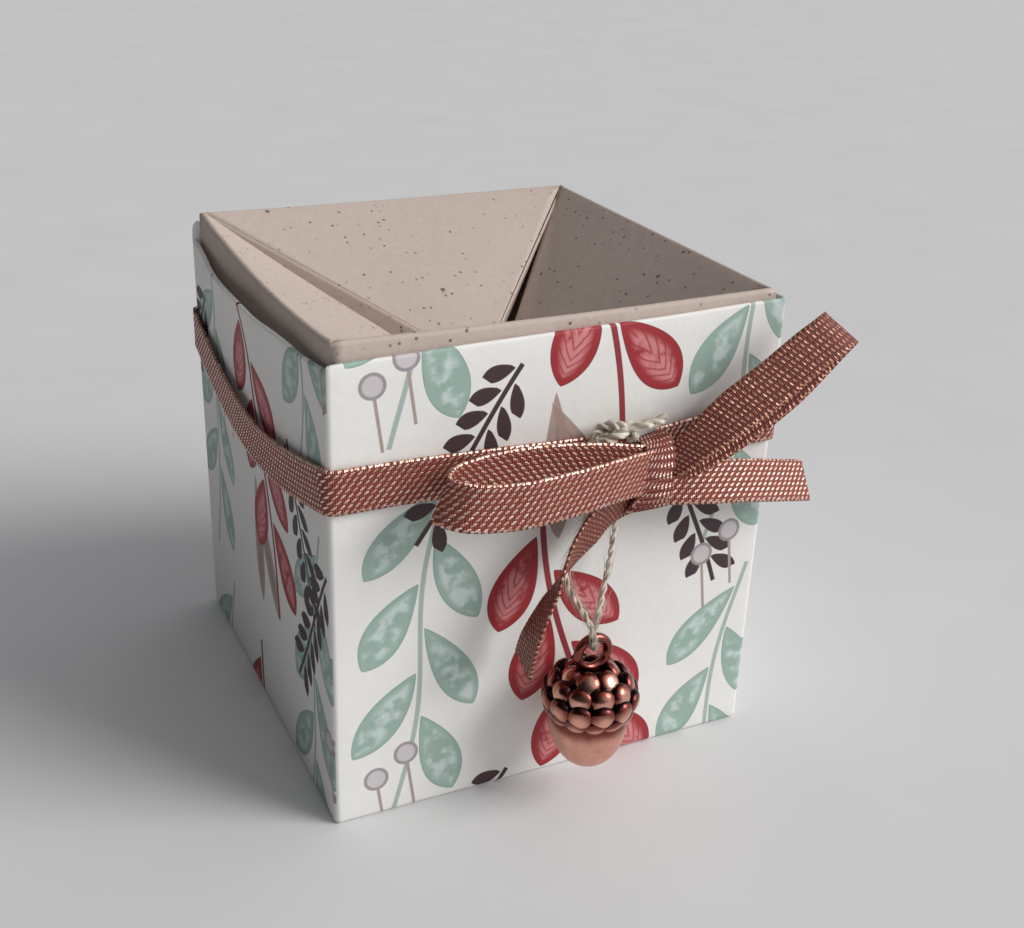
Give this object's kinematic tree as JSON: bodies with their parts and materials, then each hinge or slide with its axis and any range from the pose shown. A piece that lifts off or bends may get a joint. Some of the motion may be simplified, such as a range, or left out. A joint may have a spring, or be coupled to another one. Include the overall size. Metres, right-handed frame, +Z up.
{
  "type": "masu gift box",
  "caption": "Small square gift box folded from printed paper, nested over a flapped inner box, tied with a ribbon bow and an acorn on twine.",
  "frame": {"origin": "middle of the outer box's underside, which rests on the table", "axes": "+Z up, -Y towards the face with the bow, +X to the right seen from the bow"},
  "size_m": [0.0548, 0.0619, 0.0531],
  "materials": {
    "printed_paper": "matte printed paper",
    "speckled_paper": "matte speckled paper",
    "ribbon": "woven with a metallic thread",
    "twine": "twisted natural fibre",
    "copper": "darkened and polished copper colour"
  },
  "bodies": {
    "root": {"outer_box": "printed_paper", "inner_box": "speckled_paper", "ribbon": "ribbon", "twine": "twine", "acorn_charm": "copper"}
  },
  "joints": []
}
